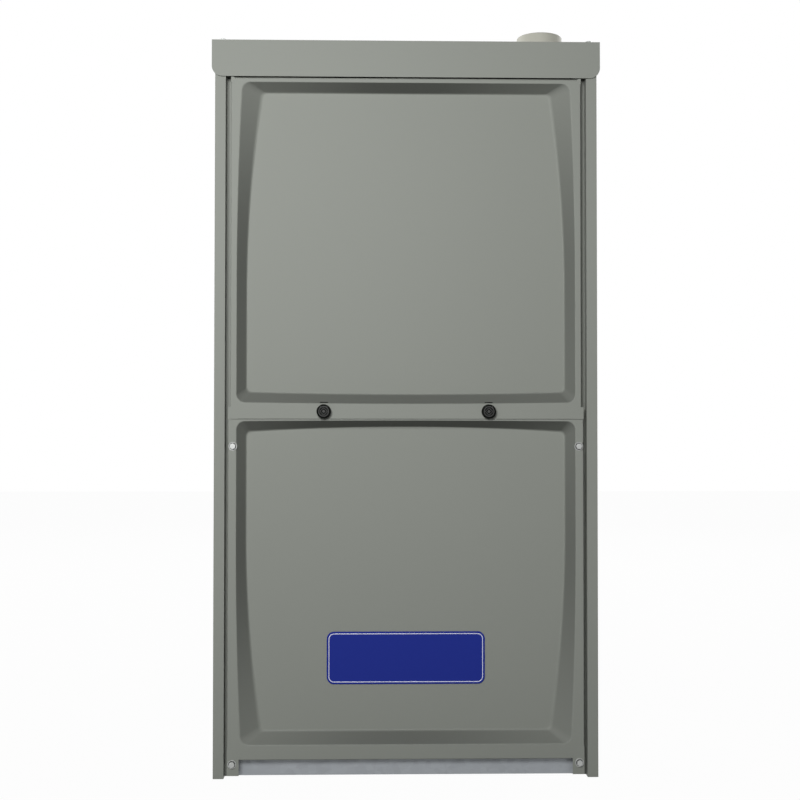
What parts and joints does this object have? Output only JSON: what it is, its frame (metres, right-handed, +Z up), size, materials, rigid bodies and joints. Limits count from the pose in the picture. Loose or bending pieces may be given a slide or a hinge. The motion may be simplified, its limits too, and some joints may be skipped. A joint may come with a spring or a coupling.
{
  "type": "forced-air gas furnace",
  "caption": "Upflow forced-air gas furnace with lift-off front doors, blower, burners, heat exchanger and vent stub.",
  "frame": {"origin": "bottom centre of the whole furnace, midway between its sides and midway between the knobs and the rear screws", "axes": "+X to the right seen from the front, +Y from the front doors to the back, +Z up; the front faces -Y"},
  "size_m": [0.452, 0.7482, 0.928],
  "materials": {
    "cabinet_paint": "satin",
    "galvanised": "satin",
    "badge_plate": "gloss",
    "knob_plastic": "matte",
    "zinc_screws": "bright zinc",
    "plug_plastic": "matte",
    "blanket": "foil-faced glass fibre",
    "aluminised_steel": "dull",
    "coil_fins": "satin",
    "black_plastic": "matte",
    "rotor_steel": "satin",
    "motor_paint": "satin",
    "rubber": "matte",
    "pipe_plastic": "satin",
    "clamp_steel": "bright",
    "black_pipe": "satin",
    "brass": "turned",
    "valve_casting": "cast",
    "valve_knob": "gloss",
    "ceramic": "matte",
    "reset_red": "gloss",
    "switch_plastic": "satin",
    "drain_hose": "clear-white",
    "circuit_board": "satin",
    "transformer_iron": "satin",
    "plunger_plastic": "gloss",
    "wire_insulation": "satin"
  },
  "bodies": {
    "casing": {"left_side_panel": "cabinet_paint", "right_side_panel": "cabinet_paint", "back_panel": "cabinet_paint", "top_cap": "cabinet_paint", "supply_collar": "galvanised", "base_frame": "galvanised", "bottom_rail": "galvanised", "cross_rail": "galvanised", "blower_deck": "galvanised", "vestibule_panel": "galvanised", "knob_receptacles": "galvanised", "casing_screws": "zinc_screws", "hole_plugs": "plug_plastic", "insulation_blanket": "blanket", "primary_tubes": "aluminised_steel", "rear_header": "aluminised_steel", "secondary_coil": "coil_fins", "collector_box": "black_plastic", "inducer_housing": "black_plastic", "inducer_motor": "motor_paint", "vent_coupling": "rubber", "vent_pipe": "pipe_plastic", "vent_clamps": "clamp_steel", "vent_gasket": "rubber", "burner_box": "galvanised", "burners": "aluminised_steel", "gas_manifold": "black_pipe", "gas_orifices": "brass", "gas_valve": "valve_casting", "igniter": "ceramic", "flame_sensor": "clamp_steel", "rollout_switches": "black_plastic", "pressure_switch": "switch_plastic", "pressure_hose": "rubber", "limit_switch": "clamp_steel", "condensate_trap": "black_plastic", "drain_hose": "drain_hose", "control_bracket": "galvanised", "control_board": "circuit_board", "transformer": "transformer_iron", "junction_box": "galvanised", "blower_housing": "galvanised", "blower_motor": "motor_paint", "motor_mount": "clamp_steel", "door_switch": "black_plastic", "wiring_harness": "wire_insulation"},
    "upper_door": {"upper_door": "cabinet_paint"},
    "lower_door": {"lower_door": "cabinet_paint", "door_badge": "badge_plate", "lower_door_screws": "zinc_screws"},
    "knob_left": {"knob_left": "knob_plastic"},
    "knob_right": {"knob_right": "knob_plastic"},
    "blower_rotor": {"blower_wheel": "rotor_steel", "blower_shaft": "rotor_steel"},
    "inducer_rotor": {"inducer_wheel": "rotor_steel"},
    "gas_valve_knob": {"gas_valve_knob": "valve_knob"},
    "reset_left": {"reset_button_left": "reset_red"},
    "reset_right": {"reset_button_right": "reset_red"},
    "switch_plunger": {"door_switch_plunger": "plunger_plastic"}
  },
  "joints": [
    {"name": "upper_door_slide", "type": "slide", "parent": "casing", "child": "upper_door", "axis": [0, -1, 0], "range_m": [0, 0.35]},
    {"name": "lower_door_slide", "type": "slide", "parent": "casing", "child": "lower_door", "axis": [0, -1, 0], "range_m": [0, 0.35]},
    {"name": "knob_left_turn", "type": "hinge", "parent": "upper_door", "child": "knob_left", "pos_m": [-0.0955, -0.3671, 0.4223], "axis": [0, -1, 0], "range_deg": [0, 90]},
    {"name": "knob_right_turn", "type": "hinge", "parent": "upper_door", "child": "knob_right", "pos_m": [0.0955, -0.3671, 0.4223], "axis": [0, -1, 0], "range_deg": [0, 90]},
    {"name": "blower_spin", "type": "hinge", "parent": "casing", "child": "blower_rotor", "pos_m": [-0.015, 0.0529, 0.208], "axis": [0, 1, 0], "continuous": true},
    {"name": "inducer_spin", "type": "hinge", "parent": "casing", "child": "inducer_rotor", "pos_m": [0.0931, -0.1471, 0.59], "axis": [0, 1, 0], "continuous": true},
    {"name": "gas_knob_turn", "type": "hinge", "parent": "casing", "child": "gas_valve_knob", "pos_m": [-0.16525, -0.2551, 0.774], "axis": [0, -1, 0], "range_deg": [0, 90]},
    {"name": "reset_left_press", "type": "slide", "parent": "casing", "child": "reset_left", "axis": [0, 1, 0], "range_m": [0, 0.002], "stiffness_N_per_m": 200},
    {"name": "reset_right_press", "type": "slide", "parent": "casing", "child": "reset_right", "axis": [0, 1, 0], "range_m": [0, 0.002], "stiffness_N_per_m": 200},
    {"name": "plunger_travel", "type": "slide", "parent": "casing", "child": "switch_plunger", "axis": [0, -1, 0], "range_m": [0, 0.008]}
  ],
  "couplings": [
    {"joint": "plunger_travel", "follows": "lower_door_slide", "ratio": 0.022857}
  ]
}
